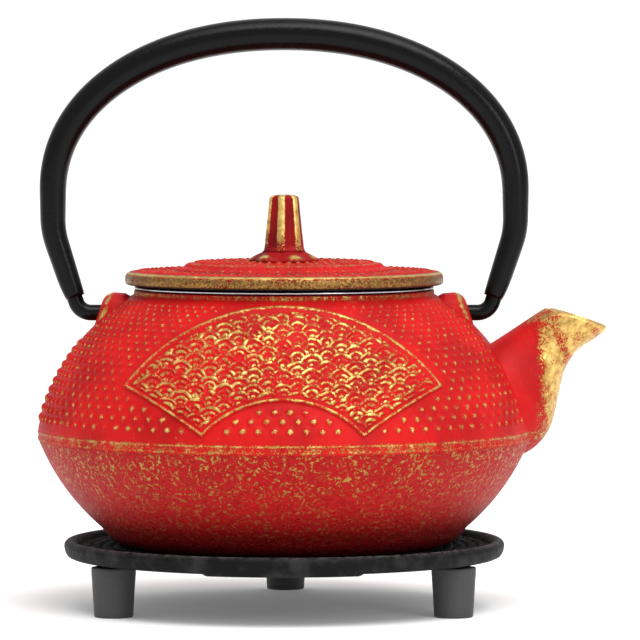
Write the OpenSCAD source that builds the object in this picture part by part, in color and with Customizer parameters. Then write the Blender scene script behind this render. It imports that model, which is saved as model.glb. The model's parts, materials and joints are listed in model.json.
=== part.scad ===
// Cast iron teapot with lid, stainless infuser, hollow bail handle and trivet.
// +Z is up, +X points along the spout. The origin is on the pot's axis at table level.

/* [Pot] */
// Radius of the pot at the ridge round its belly
belly_r = 60; // [54:0.5:66]
// Height of the ridge above the table
ridge_z = 43.3; // [41:0.1:46]
// Outer radius of the collar round the mouth
collar_r = 36.5; // [35.8:0.1:37.5]
// Height of the collar's top edge
collar_z = 77.7; // [76:0.1:79]
// Thickness of the cast wall
wall = 3; // [2.4:0.1:3.4]
// Radius of the flat base that stands on the trivet
base_r = 38; // [34:0.5:41]
// Radius of the arc from the ridge up to the collar
shoulder_arc = 51; // [46:0.5:60]
// Radius of the arc of the lower bowl
bowl_arc = 54; // [48:0.5:65]

/* [Spout] */
// Reach of the spout's tip from the pot's axis
spout_reach = 79; // [76:0.5:83]
// Height of the spout's lip at the back of its mouth
spout_top = 72.9; // [71:0.1:75]
// Wall thickness at the spout's mouth
spout_wall = 2; // [1.6:0.1:2.4]
// Half width of the spout at its mouth
spout_half_w = 7.9; // [6.5:0.1:9.5]

/* [Ears] */
// Height of the handle's hinge axis
hinge_z = 71.9; // [71:0.1:72.5]
// Width of each ear
ear_w = 14; // [11:0.5:18]
// Depth of each ear's blind socket, measured from the pot's axis
socket_x = 40.5; // [40:0.1:41.5]

/* [Lid] */
// Outer radius of the lid
lid_r = 38.7; // [37.6:0.1:40]
// Height of the lid's flat outer zone
lid_top = 82; // [81.5:0.1:83]
// Height of the raised centre above the outer zone
lid_rise = 2.2; // [1.5:0.1:2.6]
// Thickness of the cast lid
lid_t = 3; // [2.4:0.1:3.2]
// Depth of the locating ring under the lid's seat
skirt_depth = 4.5; // [3:0.1:6]
// Radius of the vent hole
vent_r = 1.2; // [0.8:0.1:1.6]

/* [Knob] */
// Radius of the flower-shaped seat under the knob
seat_r = 8.6; // [7.5:0.1:9.5]
// Height of the seat
seat_h = 2.7; // [2.2:0.1:3.2]
// Radius of the knob's foot
knob_foot_r = 5.1; // [4.6:0.1:6]
// Radius of the knob near its top
knob_top_r = 3.7; // [3.3:0.1:4.4]
// Height of the knob
knob_h = 14.4; // [12:0.1:16]
// Radius of the screw's shank
screw_r = 2; // [1.5:0.1:2]

/* [Infuser] */
// Outer radius of the infuser's flange
flange_r = 36.4; // [35:0.1:36.8]
// Thickness of the flange
flange_t = 0.6; // [0.4:0.1:0.8]
// Outer radius of the mesh wall
basket_r = 30.6; // [29:0.1:31]
// Thickness of the mesh
mesh_t = 0.5; // [0.4:0.1:0.7]
// Depth of the basket below the flange
basket_depth = 38; // [30:0.5:44]

/* [Handle] */
// Half width of the bail's centre line
bail_half_w = 56.2; // [54.5:0.1:60]
// Height of the centre line's crown
bail_top = 139.5; // [136:0.5:150]
// Half thickness of the tube at the crown, in the bail's plane
tube_top = 4.1; // [3.5:0.1:4.5]
// Half thickness of the tube at its lower ends
tube_end = 2.65; // [2.6:0.05:3]
// Thickness of the tube's sheet
tube_wall = 0.6; // [0.4:0.05:0.6]
// Lean of the legs from the vertical
leg_lean = 18; // [14:0.5:20]
// Radius of the hook rod and its pin
pin_r = 1.95; // [1.6:0.05:1.95]
// Radial running clearance of the pin in its socket
pin_gap = 0.06; // [0.03:0.01:0.1]
// Centre-line radius of the hook's elbow
elbow_r = 3.8; // [3.4:0.1:4.2]

/* [Trivet] */
// Outer radius of the trivet
trivet_r = 53.6; // [50:0.1:58]
// Height of the floor that the pot stands on
trivet_floor = 15.5; // [15:0.1:15.5]
// Height of the rim above that floor
rim_h = 1.3; // [0.8:0.1:2.2]
// Thickness of the trivet's floor
trivet_t = 2.9; // [2.2:0.1:3.4]
// Radius of the circle that the feet stand on
foot_circle = 47; // [42:0.5:48]

/* [Feet] */
// Height of a rubber foot
foot_h = 12; // [10:0.1:12]
// Radius of a foot at its top
foot_top_r = 5.35; // [4.6:0.05:6]
// Radius of a foot at the table
foot_low_r = 4.7; // [4:0.05:5.4]
// Radius of the cast peg inside a foot
peg_r = 3; // [2:0.1:3.4]

/* [Hidden] */
$fn = 128;

iron_red = [0.72, 0.12, 0.12];
old_gold = [0.74, 0.58, 0.32];
satin_black = [0.11, 0.11, 0.11];
steel = [0.78, 0.78, 0.8];
soft_grey = [0.3, 0.3, 0.3];

// Points of an arc of radius r from a to b that bulges to the right of the way from a to b.
function arc_centre(a, b, r) =
    let (d = b - a, l = norm(d), m = (a + b) / 2, s = sqrt(r * r - l * l / 4))
    m + s * [-d.y, d.x] / l;
function arc_points(c, r, from, to, steps) =
    [for (i = [0:steps]) let (t = from + (to - from) * i / steps) c + r * [cos(t), sin(t)]];
function bearing(c, p) = atan2(p.y - c.y, p.x - c.x);

// Section of the pot: a flat base, the lower bowl, the ridge, the shoulder and the collar.
pot_base = trivet_floor;
foot_turn = [base_r + 6.5, pot_base + 4.5];
bowl_top = [belly_r - 0.6, ridge_z - 2.9];
ridge = [belly_r, ridge_z];
collar_foot = [collar_r, collar_z - 1.2];
mouth_r = collar_r - wall - 0.3;
shoulder_c = arc_centre(ridge, collar_foot, shoulder_arc);
bowl_c = arc_centre(foot_turn, bowl_top, bowl_arc);
turn_c = arc_centre([base_r, pot_base], foot_turn, 9);

module pot_outside() {
    rotate_extrude() polygon(concat(
        [[0, pot_base]],
        arc_points(turn_c, 9, bearing(turn_c, [base_r, pot_base]), bearing(turn_c, foot_turn), 4),
        arc_points(bowl_c, bowl_arc, bearing(bowl_c, foot_turn), bearing(bowl_c, bowl_top), 12),
        [[belly_r, ridge_z - 1.1]],
        arc_points(shoulder_c, shoulder_arc, bearing(shoulder_c, ridge), bearing(shoulder_c, collar_foot), 20),
        [[collar_r, collar_z], [0, collar_z]]
    ));
}

// The cavity follows the outside at the wall's thickness and opens into a straight mouth.
module pot_inside() {
    inner_shoulder = shoulder_arc - wall;
    inner_bowl = bowl_arc - wall;
    low = [base_r, pot_base + wall];
    rotate_extrude() polygon(concat(
        [[0, pot_base + wall], low],
        arc_points(bowl_c, inner_bowl, bearing(bowl_c, foot_turn), bearing(bowl_c, bowl_top), 10),
        arc_points(shoulder_c, inner_shoulder, bearing(shoulder_c, ridge),
                   acos((mouth_r - shoulder_c.x) / inner_shoulder), 16),
        [[mouth_r, collar_z + 1], [0, collar_z + 1]]
    ));
}

// A row of the spout: its upper point, its lower point and its half width.
spout_rows = [
    [[45, 61.5], [53.5, 35.5], 13],
    [[49.7, 64.1], [60.5, 38.8], 12],
    [[53.5, 66.5], [64.7, 44], 10.4],
    [[57, 68.8], [66.5, 50.8], 9.1],
    [[60, 70.8], [68.2, 57.9], 8.2],
    [[62.2, 72.2], [71.2, 62.6], 7.8],
    [[63.4, spout_top], [75.4, 65.6], spout_half_w - 0.1],
    [[64.6, spout_top], [spout_reach, 68.2], spout_half_w]
];
spout_sides = 28;

function spout_ring(row, inset) =
    let (c = (row[0] + row[1]) / 2, u = (row[0] - row[1]) / 2, k = 1 - inset / norm(u))
    [for (i = [0:spout_sides - 1]) let (t = 360 * i / spout_sides, p = c + u * k * cos(t))
        [p.x, (row[2] - inset) * sin(t), p.y]];

// A closed skin through rings of points that all have the same count.
module loft(rings) {
    n = len(rings[0]);
    last = len(rings) - 1;
    points = [for (ring = rings) for (p = ring) p];
    sides = [for (k = [0:last - 1]) for (i = [0:n - 1])
        let (a = k * n + i, b = k * n + (i + 1) % n) [a, b, b + n, a + n]];
    start = [for (i = [n - 1:-1:0]) i];
    end = [for (i = [0:n - 1]) last * n + i];
    polyhedron(points, concat(sides, [start, end]), convexity = 6);
}

module spout_outside() {
    loft([for (row = spout_rows) spout_ring(row, 0)]);
}

// The channel narrows towards the pot and breaks through both its wall and the mouth.
root_extra = 3.6;

module spout_channel() {
    last = len(spout_rows) - 1;
    rings = [for (i = [0:last]) spout_ring(spout_rows[i], spout_wall + root_extra * pow(1 - i / last, 2))];
    loft(concat(
        [[for (p = rings[0]) p - [5, 0, 1.5]]], rings, [[for (p = rings[last]) p + [1.1, 0, 3]]]
    ));
}

// An ear: a lug in the corner between shoulder and collar, with a rounded top.
ear_round = 3.2;

module ear() {
    crown = [socket_x + 0.7, hinge_z + 1.7];
    rotate([90, 0, 0]) linear_extrude(ear_w, center = true) polygon(concat(
        [[44.6, 65.5], [46.4, 68.1]], arc_points(crown, ear_round, 15, 90, 5), [[38.6, 76.6], [38.2, 72]]
    ));
}

module ear_socket() {
    translate([socket_x, 0, hinge_z]) rotate([0, 90, 0]) cylinder(r = pin_r + pin_gap, h = 8);
}

module pot_body() {
    color(iron_red) difference() {
        union() {
            pot_outside();
            spout_outside();
            for (side = [0, 1]) mirror([side, 0, 0]) ear();
        }
        pot_inside();
        spout_channel();
        for (side = [0, 1]) mirror([side, 0, 0]) ear_socket();
    }
}

// Infuser: a flange with a short neck, a mesh wall, a mesh floor and a crimped base ring.
flange_z = collar_z;
basket_floor = flange_z - basket_depth;
neck_t = 0.8;
ring_t = 0.7;

module infuser_rim() {
    color(steel) rotate_extrude() polygon([
        [basket_r, flange_z - 6], [basket_r + neck_t, flange_z - 6], [basket_r + neck_t, flange_z],
        [flange_r, flange_z], [flange_r, flange_z + flange_t], [basket_r, flange_z + flange_t]
    ]);
}

module infuser_wall() {
    color(steel) translate([0, 0, basket_floor + mesh_t]) difference() {
        cylinder(r = basket_r, h = basket_depth - mesh_t - 0.8);
        translate([0, 0, -1]) cylinder(r = basket_r - mesh_t, h = basket_depth + 2);
    }
}

module infuser_base_ring() {
    color(steel) rotate_extrude() polygon([
        [basket_r - 3, basket_floor - mesh_t], [basket_r + ring_t, basket_floor - mesh_t],
        [basket_r + ring_t, basket_floor + 3.5], [basket_r, basket_floor + 3.5],
        [basket_r, basket_floor], [basket_r - 3, basket_floor]
    ]);
}

module infuser_floor() {
    color(steel) translate([0, 0, basket_floor]) cylinder(r = basket_r - 0.05, h = mesh_t);
}

// Lid: a rounded rim, a flat outer zone, an ogee up to the raised centre and a locating ring.
lid_seat = collar_z + flange_t;
skirt_r = basket_r - mesh_t - 0.6;
skirt_t = 2.2;
ogee_in = 21;
ogee_out = 28;
lid_centre = lid_top + lid_rise;

module lid_section() {
    under = lid_centre - lid_t;
    ogee = [for (i = [0:8]) let (t = i / 8)
        [ogee_out + (ogee_in - ogee_out) * t, lid_top + lid_rise * (1 - cos(180 * t)) / 2]];
    rim = arc_points([lid_r - 1.4, lid_top - 1.4], 1.4, 0, 90, 5);
    polygon(concat(
        [[0, under], [ogee_in - 1, under], [skirt_r - skirt_t, lid_top - lid_t + 0.3],
         [skirt_r - skirt_t, lid_seat - skirt_depth], [skirt_r, lid_seat - skirt_depth],
         [skirt_r, lid_seat], [flange_r - 0.8, lid_seat], [flange_r - 0.3, lid_seat + 0.5],
         [lid_r - 0.5, lid_seat + 0.5], [lid_r, lid_seat + 1]],
        rim, ogee, [[0, lid_centre]]
    ));
}

module lid() {
    color(iron_red) difference() {
        rotate_extrude() lid_section();
        translate([0, 0, lid_seat]) cylinder(r = screw_r + 0.2, h = 10);
        translate([-16, 16, lid_seat]) cylinder(r = vent_r, h = 10);
    }
}

module knob_seat() {
    color(old_gold) translate([0, 0, lid_centre]) difference() {
        rotate_extrude() polygon([
            [0, 0], [seat_r - 0.3, 0], [seat_r, 0.5], [seat_r - 0.4, 1.2],
            [seat_r - 1.8, seat_h - 0.6], [knob_foot_r + 0.4, seat_h], [0, seat_h]
        ]);
        translate([0, 0, -1]) cylinder(r = screw_r + 0.2, h = seat_h + 2);
    }
}

module lid_knob() {
    color(old_gold) translate([0, 0, lid_centre + seat_h]) difference() {
        rotate_extrude() polygon(concat(
            [[0, 0], [knob_foot_r, 0]],
            [[knob_top_r, knob_h - 2]],
            [for (t = [15:15:90]) [knob_top_r * cos(t), knob_h - 2 + 2 * sin(t)]]
        ));
        translate([0, 0, -1]) cylinder(r = screw_r, h = 9);
    }
}

washer_t = 1;
head_h = 2.2;

module knob_screw() {
    shank = washer_t + lid_t + seat_h + 7.5;
    color(steel) translate([0, 0, lid_centre - lid_t - washer_t]) difference() {
        union() {
            cylinder(r = screw_r, h = shank);
            translate([0, 0, -head_h]) cylinder(r = 2 * screw_r - 0.3, h = head_h);
        }
        translate([0, 0, -head_h]) cube([10, 1, 2], center = true);
    }
}

module knob_washer() {
    color(steel) translate([0, 0, lid_centre - lid_t - washer_t]) difference() {
        cylinder(r = 5.5, h = washer_t);
        translate([0, 0, -1]) cylinder(r = screw_r + 0.1, h = washer_t + 2);
    }
}

// Centre line of the bail's right half, from the tube's lower end to the crown.
elbow_x = 47;
arch_z = 101;
arch_power = 2.13;
bend_r = 20;
lean_dir = [sin(leg_lean), cos(leg_lean)];
hook_end = [elbow_x + elbow_r * cos(leg_lean), hinge_z + elbow_r - elbow_r * sin(leg_lean)];
tube_start = hook_end + 1.2 * lean_dir;
bend_low = [bail_half_w - bend_r * (1 - cos(leg_lean)), tube_start.y +
    (bail_half_w - bend_r * (1 - cos(leg_lean)) - tube_start.x) / tan(leg_lean)];
arch_b = bail_top - arch_z;
half_line = concat(
    [for (i = [0:3]) tube_start + (bend_low - tube_start) * i / 4],
    [for (i = [0:3]) let (t = leg_lean * (1 - i / 3))
        [bail_half_w - bend_r * (1 - cos(t)), bend_low.y + bend_r * (sin(leg_lean) - sin(t))]],
    [for (t = [0:6:90]) [bail_half_w * pow(cos(t), 2 / arch_power), arch_z + arch_b * pow(sin(t), 2 / arch_power)]]
);
bow_line = concat(half_line, [for (i = [len(half_line) - 2:-1:0]) [-half_line[i].x, half_line[i].y]]);
tube_sides = 16;

// One ring of the tube, thicker towards the crown and a little wider across the bail's plane.
function bow_ring(i, inset) =
    let (
        p = bow_line[i],
        d = bow_line[min(i + 1, len(bow_line) - 1)] - bow_line[max(i - 1, 0)],
        n = [d.y, -d.x] / norm(d),
        k = pow((p.y - tube_start.y) / (bail_top - tube_start.y), 0.8),
        h = tube_end + (tube_top - tube_end) * k - inset,
        w = h + 0.6 * k
    )
    [for (s = [0:tube_sides - 1]) let (t = -360 * s / tube_sides)
        [p.x + n.x * h * cos(t), w * sin(t), p.y + n.y * h * cos(t)]];

module handle_bow() {
    last = len(bow_line) - 1;
    inner = [for (i = [0:last]) bow_ring(i, tube_wall)];
    step = [lean_dir.x, 0, lean_dir.y];
    left_step = [-lean_dir.x, 0, lean_dir.y];
    color(satin_black) difference() {
        loft([for (i = [0:last]) bow_ring(i, 0)]);
        loft(concat([[for (p = inner[0]) p - step]], inner, [[for (p = inner[last]) p - left_step]]));
    }
}

// A hook: the pin in the ear, the elbow, and the tang pressed into the tube's end.
module hook() {
    tang = 12;
    translate([socket_x + 0.4, 0, hinge_z]) rotate([0, 90, 0])
        cylinder(r = pin_r, h = elbow_x - socket_x - 0.4);
    translate([elbow_x, 0, hinge_z + elbow_r]) rotate([90, 0, 0])
        rotate([0, 0, -90]) rotate_extrude(angle = 90 - leg_lean) translate([elbow_r, 0]) circle(r = pin_r);
    translate([hook_end.x, 0, hook_end.y]) rotate([0, leg_lean, 0]) cylinder(r = pin_r, h = tang);
}

module hook_right() {
    color(satin_black) hook();
}

module hook_left() {
    color(satin_black) mirror([1, 0, 0]) hook();
}

// Trivet: a dished plate with a rounded rim, a shallow lug midway between feet, and three pegs.
peg_end = 4;
foot_angles = [210, 330, 90];
lug_half = 20.5;

module on_foot(angle) {
    rotate([0, 0, angle]) translate([foot_circle, 0, 0]) children();
}

module trivet_plate() {
    under = trivet_floor - trivet_t;
    rim_top = trivet_floor + rim_h;
    color(satin_black) union() {
        rotate_extrude() polygon(concat(
            [[0, under], [trivet_r - 1.6, under], [trivet_r - 0.6, under + 0.7]],
            arc_points([trivet_r - 1.5, rim_top - 1.5], 1.5, 0, 180, 8),
            [[trivet_r - 3.6, trivet_floor], [0, trivet_floor]]
        ));
        for (angle = foot_angles) rotate([0, 0, angle + 60 - lug_half])
            rotate_extrude(angle = 2 * lug_half)
                polygon([[trivet_r - 3.4, under - 0.5], [trivet_r - 1.2, under - 0.5],
                         [trivet_r - 1, under + 0.5], [trivet_r - 3.6, under + 0.5]]);
        for (angle = foot_angles) on_foot(angle)
            translate([0, 0, peg_end]) cylinder(r = peg_r, h = trivet_floor - 1 - peg_end);
    }
}

module foot(angle) {
    color(soft_grey) on_foot(angle) difference() {
        rotate_extrude() polygon([
            [0, 0], [foot_low_r - 0.4, 0], [foot_low_r, 0.4], [foot_top_r, foot_h - 0.5],
            [foot_top_r - 0.5, foot_h], [0, foot_h]
        ]);
        translate([0, 0, peg_end]) cylinder(r = peg_r, h = foot_h);
    }
}

module foot_front_left() {
    foot(foot_angles[0]);
}

module foot_front_right() {
    foot(foot_angles[1]);
}

module foot_back() {
    foot(foot_angles[2]);
}

pot_body();
infuser_rim();
infuser_wall();
infuser_base_ring();
infuser_floor();
lid();
knob_seat();
lid_knob();
knob_screw();
knob_washer();
handle_bow();
hook_left();
hook_right();
trivet_plate();
foot_front_left();
foot_front_right();
foot_back();
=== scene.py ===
"""Looks of the cast iron teapot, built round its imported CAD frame.

Shapes are worked out in millimetres and scaled to metres when a mesh is made."""

import json
import math

import bpy
import numpy as np
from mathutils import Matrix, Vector

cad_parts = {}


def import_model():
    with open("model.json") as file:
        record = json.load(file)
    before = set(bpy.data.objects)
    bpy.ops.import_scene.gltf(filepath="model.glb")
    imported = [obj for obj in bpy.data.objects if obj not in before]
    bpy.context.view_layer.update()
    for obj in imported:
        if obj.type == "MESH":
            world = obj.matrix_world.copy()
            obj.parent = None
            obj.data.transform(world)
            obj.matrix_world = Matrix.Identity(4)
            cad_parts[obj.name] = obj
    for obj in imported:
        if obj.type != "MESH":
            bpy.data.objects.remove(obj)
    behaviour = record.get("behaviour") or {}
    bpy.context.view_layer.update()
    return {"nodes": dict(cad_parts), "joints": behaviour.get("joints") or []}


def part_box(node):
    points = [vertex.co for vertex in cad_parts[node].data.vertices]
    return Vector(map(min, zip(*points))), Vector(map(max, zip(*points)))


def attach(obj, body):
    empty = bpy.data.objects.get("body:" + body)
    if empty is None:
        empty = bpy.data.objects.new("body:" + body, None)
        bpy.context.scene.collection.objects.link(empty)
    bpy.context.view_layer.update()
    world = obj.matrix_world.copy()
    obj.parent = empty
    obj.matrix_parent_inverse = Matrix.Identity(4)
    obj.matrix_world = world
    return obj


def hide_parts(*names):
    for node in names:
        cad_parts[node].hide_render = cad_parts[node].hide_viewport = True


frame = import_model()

MM = 0.001

# Driving dimensions, in millimetres, read off the frame where a node gives them.
BODY_LO, BODY_HI = (np.array(c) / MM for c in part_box("pot_body"))
_, LID_HI = (np.array(c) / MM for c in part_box("lid"))
SEAT_LO, SEAT_HI = (np.array(c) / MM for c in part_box("knob_seat"))
KNOB_LO, KNOB_HI = (np.array(c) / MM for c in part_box("lid_knob"))
WALL_LO, WALL_HI = (np.array(c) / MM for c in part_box("infuser_wall"))
FLOOR_LO, FLOOR_HI = (np.array(c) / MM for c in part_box("infuser_floor"))
_, PLATE_HI = (np.array(c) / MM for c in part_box("trivet_plate"))
HINGE_Z = next(j["pos_m"][2] for j in frame["joints"] if j["name"] == "bail_swing") / MM

BELLY_R = BODY_HI[1]
RIDGE_Z = 43.3
WALL_T = 3.0
COLLAR_R = 36.5
COLLAR_Z = 77.7
BASE_R = 38.0
BASE_Z = BODY_LO[2]
EAR_CENTRE = (40.6, 69.5)
EAR_CROWN = (41.2, 73.6)
EAR_CROWN_R = 3.2
EAR_HALF_W = 7.0
PIN_HOLE_R = 2.2
BODY_DOT_H = 0.70
LID_DOT_R = 0.66
LID_DOT_H = 0.42


# ---- small geometry helpers

def smooth(x, low=0.0, high=1.0):
    """0 below low, 1 above high, and a soft step between."""
    t = np.clip((np.asarray(x, float) - low) / (high - low), 0, 1)
    return t * t * (3 - 2 * t)


def arc(a, b, radius, count):
    """Points from a to b on an arc that bulges to the right of the way from a to b."""
    centre = arc_centre(a, b, radius)
    start, end = (math.atan2(*(np.asarray(p, float) - centre)[::-1]) for p in (a, b))
    t = np.linspace(start, end, count)
    return centre + radius * np.column_stack([np.cos(t), np.sin(t)])


def arc_centre(a, b, radius):
    a, b = np.asarray(a, float), np.asarray(b, float)
    d = b - a
    length = np.hypot(*d)
    return (a + b) / 2 + math.sqrt(radius**2 - length**2 / 4) * np.array([-d[1], d[0]]) / length


def resample(points, count):
    """count points at even steps along a polyline."""
    points = np.asarray(points, float)
    steps = np.r_[0, np.cumsum(np.linalg.norm(np.diff(points, axis=0), axis=1))]
    at = np.linspace(0, steps[-1], count)
    return np.column_stack([np.interp(at, steps, points[:, k]) for k in range(points.shape[1])])


def link_object(name, data):
    """A new object for data, linked into the scene."""
    obj = bpy.data.objects.new(name, data)
    bpy.context.scene.collection.objects.link(obj)
    return obj


def new_object(name, vertices_mm, faces):
    mesh = bpy.data.meshes.new(name)
    mesh.from_pydata((np.asarray(vertices_mm) * MM).tolist(), [], faces)
    mesh.polygons.foreach_set("use_smooth", [True] * len(mesh.polygons))
    mesh.update()
    obj = link_object(name, mesh)
    return obj


def grid_faces(rows, cols, offset=0, wrap=True, flip=False):
    """Quads of a grid whose vertices run row by row; wrap joins the last column to the first."""
    i, j = np.meshgrid(np.arange(rows - 1), np.arange(cols if wrap else cols - 1), indexing="ij")
    k = (j + 1) % cols
    quads = np.stack([i * cols + j, i * cols + k, (i + 1) * cols + k, (i + 1) * cols + j], -1)
    quads = quads.reshape(-1, 4) + offset
    return (quads[:, ::-1] if flip else quads).tolist()


def fan_faces(ring, centre, flip=False):
    n = len(ring)
    tris = [[ring[i], ring[(i + 1) % n], centre] for i in range(n)]
    return [t[::-1] for t in tris] if flip else tris


def sweep(rings_mm):
    """Vertices and faces of a closed tube through rings of equal count, fanned at each end."""
    rings = np.asarray(rings_mm)
    rows, cols = rings.shape[:2]
    vertices = np.vstack([rings.reshape(-1, 3), rings[0].mean(0), rings[-1].mean(0)])
    faces = grid_faces(rows, cols)
    faces += fan_faces(list(range(cols)), rows * cols, flip=True)
    faces += fan_faces([(rows - 1) * cols + j for j in range(cols)], rows * cols + 1)
    return vertices, faces


def solid(name, rings_mm):
    return new_object(name, *sweep(rings_mm))


def turn_z(radius, angle):
    """Point on a circle; angle 0 faces the front (-Y) and grows towards +X."""
    return np.stack([radius * np.sin(angle), -radius * np.cos(angle)], -1)


def full_turn(count):
    """count even angles over a whole turn."""
    return np.linspace(0, 2 * math.pi, count, endpoint=False)


def lathe(profile, angle):
    """(rows, cols, 3) grid of a section of (radius, z) points turned to each angle."""
    across = profile[:, None, :1] * turn_z(1.0, angle)[None]
    return np.concatenate([across, np.repeat(profile[:, None, 1:], len(angle), 1)], 2)


def attribute(obj, name, values):
    layer = obj.data.attributes.new(name, "FLOAT", "POINT")
    layer.data.foreach_set("value", np.asarray(values, np.float32))


def vertex_array_mm(obj):
    co = np.zeros(len(obj.data.vertices) * 3)
    obj.data.vertices.foreach_get("co", co)
    return co.reshape(-1, 3) / MM


def boolean(obj, operation, tool):
    """Joins or cuts obj with tool, and drops the tool."""
    modifier = obj.modifiers.new("cut", "BOOLEAN")
    modifier.operation = operation
    modifier.object = tool
    modifier.solver = "MANIFOLD"
    bpy.context.view_layer.update()
    evaluated = obj.evaluated_get(bpy.context.evaluated_depsgraph_get())
    mesh = bpy.data.meshes.new_from_object(evaluated)
    obj.modifiers.clear()
    obj.data = mesh
    bpy.data.objects.remove(tool)
    mesh.polygons.foreach_set("use_smooth", [True] * len(mesh.polygons))
    mesh.update()


# ---- node helpers

class Nodes:
    """Short calls that add shader nodes to one material."""

    def __init__(self, name):
        self.material = bpy.data.materials.new(name)
        self.material.use_nodes = True
        self.tree = self.material.node_tree
        self.shader = self.tree.nodes["Principled BSDF"]
        self.place = self.tree.nodes.new("ShaderNodeTexCoord").outputs["Object"]

    def put(self, socket, value):
        if isinstance(value, bpy.types.NodeSocket):
            self.tree.links.new(value, socket)
        elif isinstance(value, (tuple, list)) and len(value) == 3 and socket.type == "RGBA":
            socket.default_value = (*value, 1)
        else:
            socket.default_value = value

    def math(self, operation, a, b=0.0):
        node = self.tree.nodes.new("ShaderNodeMath")
        node.operation = operation
        self.put(node.inputs[0], a)
        self.put(node.inputs[1], b)
        return node.outputs[0]

    def add(self, a, b):
        return self.math("ADD", a, b)

    def sub(self, a, b):
        return self.math("SUBTRACT", a, b)

    def mul(self, a, b):
        return self.math("MULTIPLY", a, b)

    def step(self, value, low, high, to=(0.0, 1.0)):
        node = self.tree.nodes.new("ShaderNodeMapRange")
        node.interpolation_type = "SMOOTHSTEP"
        self.put(node.inputs["Value"], value)
        for name, number in zip(("From Min", "From Max", "To Min", "To Max"), (low, high, *to)):
            self.put(node.inputs[name], number)
        return node.outputs["Result"]

    def noise(self, scale, detail=3.0, rough=0.5, distortion=0.0, stretch=None):
        node = self.tree.nodes.new("ShaderNodeTexNoise")
        self.put(node.inputs["Scale"], scale)
        self.put(node.inputs["Detail"], detail)
        self.put(node.inputs["Roughness"], rough)
        self.put(node.inputs["Distortion"], distortion)
        place = self.place
        if stretch:
            mapping = self.tree.nodes.new("ShaderNodeMapping")
            self.put(mapping.inputs["Vector"], place)
            mapping.inputs["Scale"].default_value = stretch
            place = mapping.outputs[0]
        self.put(node.inputs["Vector"], place)
        return node.outputs["Fac"]

    def attribute(self, name):
        node = self.tree.nodes.new("ShaderNodeAttribute")
        node.attribute_name = name
        return node.outputs["Fac"]

    def mix(self, factor, a, b):
        node = self.tree.nodes.new("ShaderNodeMix")
        node.data_type = "RGBA"
        self.put(node.inputs["Factor"], factor)
        self.put(node.inputs["A"], a)
        self.put(node.inputs["B"], b)
        return node.outputs["Result"]

    def blend(self, factor, a, b):
        """a where factor is 0 and b where it is 1, for plain numbers."""
        return self.add(self.mul(factor, b), self.mul(self.sub(1.0, factor), a))

    def bump(self, height, distance):
        node = self.tree.nodes.new("ShaderNodeBump")
        self.put(node.inputs["Height"], height)
        self.put(node.inputs["Distance"], distance)
        self.put(node.inputs["Strength"], 1.0)
        return node.outputs["Normal"]

    def finish(self, **sockets):
        for name, value in sockets.items():
            self.put(self.shader.inputs[name.replace("_", " ")], value)
        return self.material


# ---- materials

RED = (0.50, 0.006, 0.006)
RED_DEEP = (0.36, 0.004, 0.005)
RED_DARK = (0.10, 0.002, 0.003)
GOLD = (0.38, 0.21, 0.05)
GOLD_PALE = (0.90, 0.62, 0.20)
BRONZE = (0.11, 0.055, 0.022)


def red_iron(name, skin=False, bronze=False, deep=False):
    """Red paint on cast iron, with gold rubbed where the attribute rub is high.
    With skin, the attribute skin adds the rough cast surface with its worm-like gold flecks, and the
    attribute shade darkens the red towards the base as painted shade.
    With bronze, the attribute rim adds a darker bronze rub."""
    n = Nodes(name)
    rub = n.attribute("rub")
    coarse = n.noise(90, 3)
    grain = n.noise(1800, 2, 0.6)
    patch = n.noise(430, 4, 0.65)
    fine = n.noise(2300, 3, 0.7)
    tones = ((0.30, 0.004, 0.006), (0.16, 0.002, 0.004)) if deep else (RED, RED_DEEP)
    red = n.mix(n.step(coarse, 0.35, 0.7), *tones)
    edge = n.add(rub, n.mul(n.sub(patch, 0.5), 1.0))
    edge = n.add(edge, n.mul(n.sub(fine, 0.5), 1.5))
    mask = n.step(edge, 0.46, 0.68)
    mask = n.mul(mask, n.step(rub, 0.06, 0.22))
    height = n.add(n.mul(grain, 0.3), n.mul(n.noise(520, 2), 0.5))
    height = n.add(height, n.mul(mask, 0.5))
    if skin:
        rough_zone = n.attribute("skin")
        worm = n.math("ABSOLUTE", n.sub(n.noise(640, 1.0, 0.5, 0.5), 0.5))
        worm = n.step(worm, 0.062, 0.026)
        crowd = n.step(n.noise(220, 2), 0.30, 0.48)
        fleck = n.mul(n.mul(worm, crowd), n.attribute("fleck"))
        fleck = n.mul(fleck, n.step(n.noise(950, 1), 0.46, 0.54))
        mask = n.math("MAXIMUM", mask, fleck)
        red = n.mix(n.mul(rough_zone, 0.8), red, RED_DEEP)
        # Painted shade: the red darkens towards the base, where the trivet shades the bowl.
        red = n.mix(n.attribute("shade"), red, RED_DARK)
        pits = n.add(n.noise(760, 3, 0.6), n.mul(worm, 0.4))
        height = n.add(height, n.mul(n.mul(pits, rough_zone), 3.6))
    pale = n.add(n.mul(n.noise(650, 3, 0.6), 0.7), n.mul(rub, 0.35))
    gold = n.mix(n.step(pale, 0.42, 0.85), GOLD, GOLD_PALE)
    if bronze:
        rim = n.attribute("rim")
        gold = n.mix(rim, gold, n.mix(n.step(fine, 0.4, 0.65), BRONZE, GOLD))
        red = n.mix(n.mul(rim, 0.85), red, RED_DARK)
    colour = n.mix(mask, red, gold)
    enamel = n.attribute("enamel")
    colour = n.mix(enamel, colour, (0.006, 0.006, 0.007))
    mask = n.mul(mask, n.sub(1.0, enamel))
    roughness = n.blend(mask, n.step(grain, 0.2, 0.8, (0.42, 0.58)), n.step(fine, 0.3, 0.7, (0.28, 0.46)))
    roughness = n.blend(enamel, roughness, 0.32)
    return n.finish(Base_Color=colour, Metallic=n.mul(mask, 0.8), Roughness=roughness,
                    Specular_IOR_Level=0.12, Normal=n.bump(height, 0.00016))


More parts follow.
